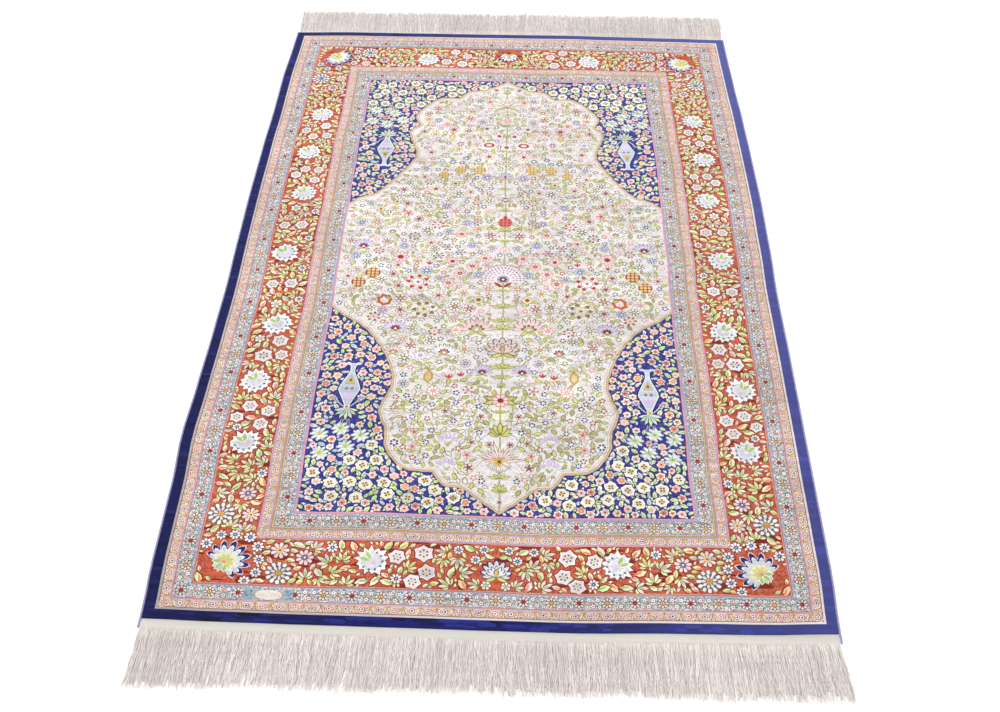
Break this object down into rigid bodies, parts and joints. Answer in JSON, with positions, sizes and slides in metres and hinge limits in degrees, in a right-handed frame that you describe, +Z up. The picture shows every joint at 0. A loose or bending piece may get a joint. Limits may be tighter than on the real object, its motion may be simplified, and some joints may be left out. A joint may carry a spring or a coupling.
{
  "type": "knotted silk rug",
  "caption": "Flat knotted silk rug with a floral centre field, wide borders, flat-woven ends and a long silk fringe at both ends.",
  "frame": {"origin": "on the floor, under the middle of the rug's outline with its fringes", "axes": "+Y along the rug towards its far end, +X across it to the right, +Z up out of the pile"},
  "size_m": [1.2142, 2.112, 0.0036],
  "materials": {
    "silk_pile": "dense cut silk pile in many dyed colours, soft sheen",
    "selvedge_silk": "thread wrapped round the side edges, satin",
    "fringe_silk": "undyed silk warp ends and flat weave, satin"
  },
  "bodies": {
    "root": {"knotted_cloth": "silk_pile", "selvedge_left": "selvedge_silk", "selvedge_right": "selvedge_silk", "fringe_near": "fringe_silk", "fringe_far": "fringe_silk"}
  },
  "joints": []
}
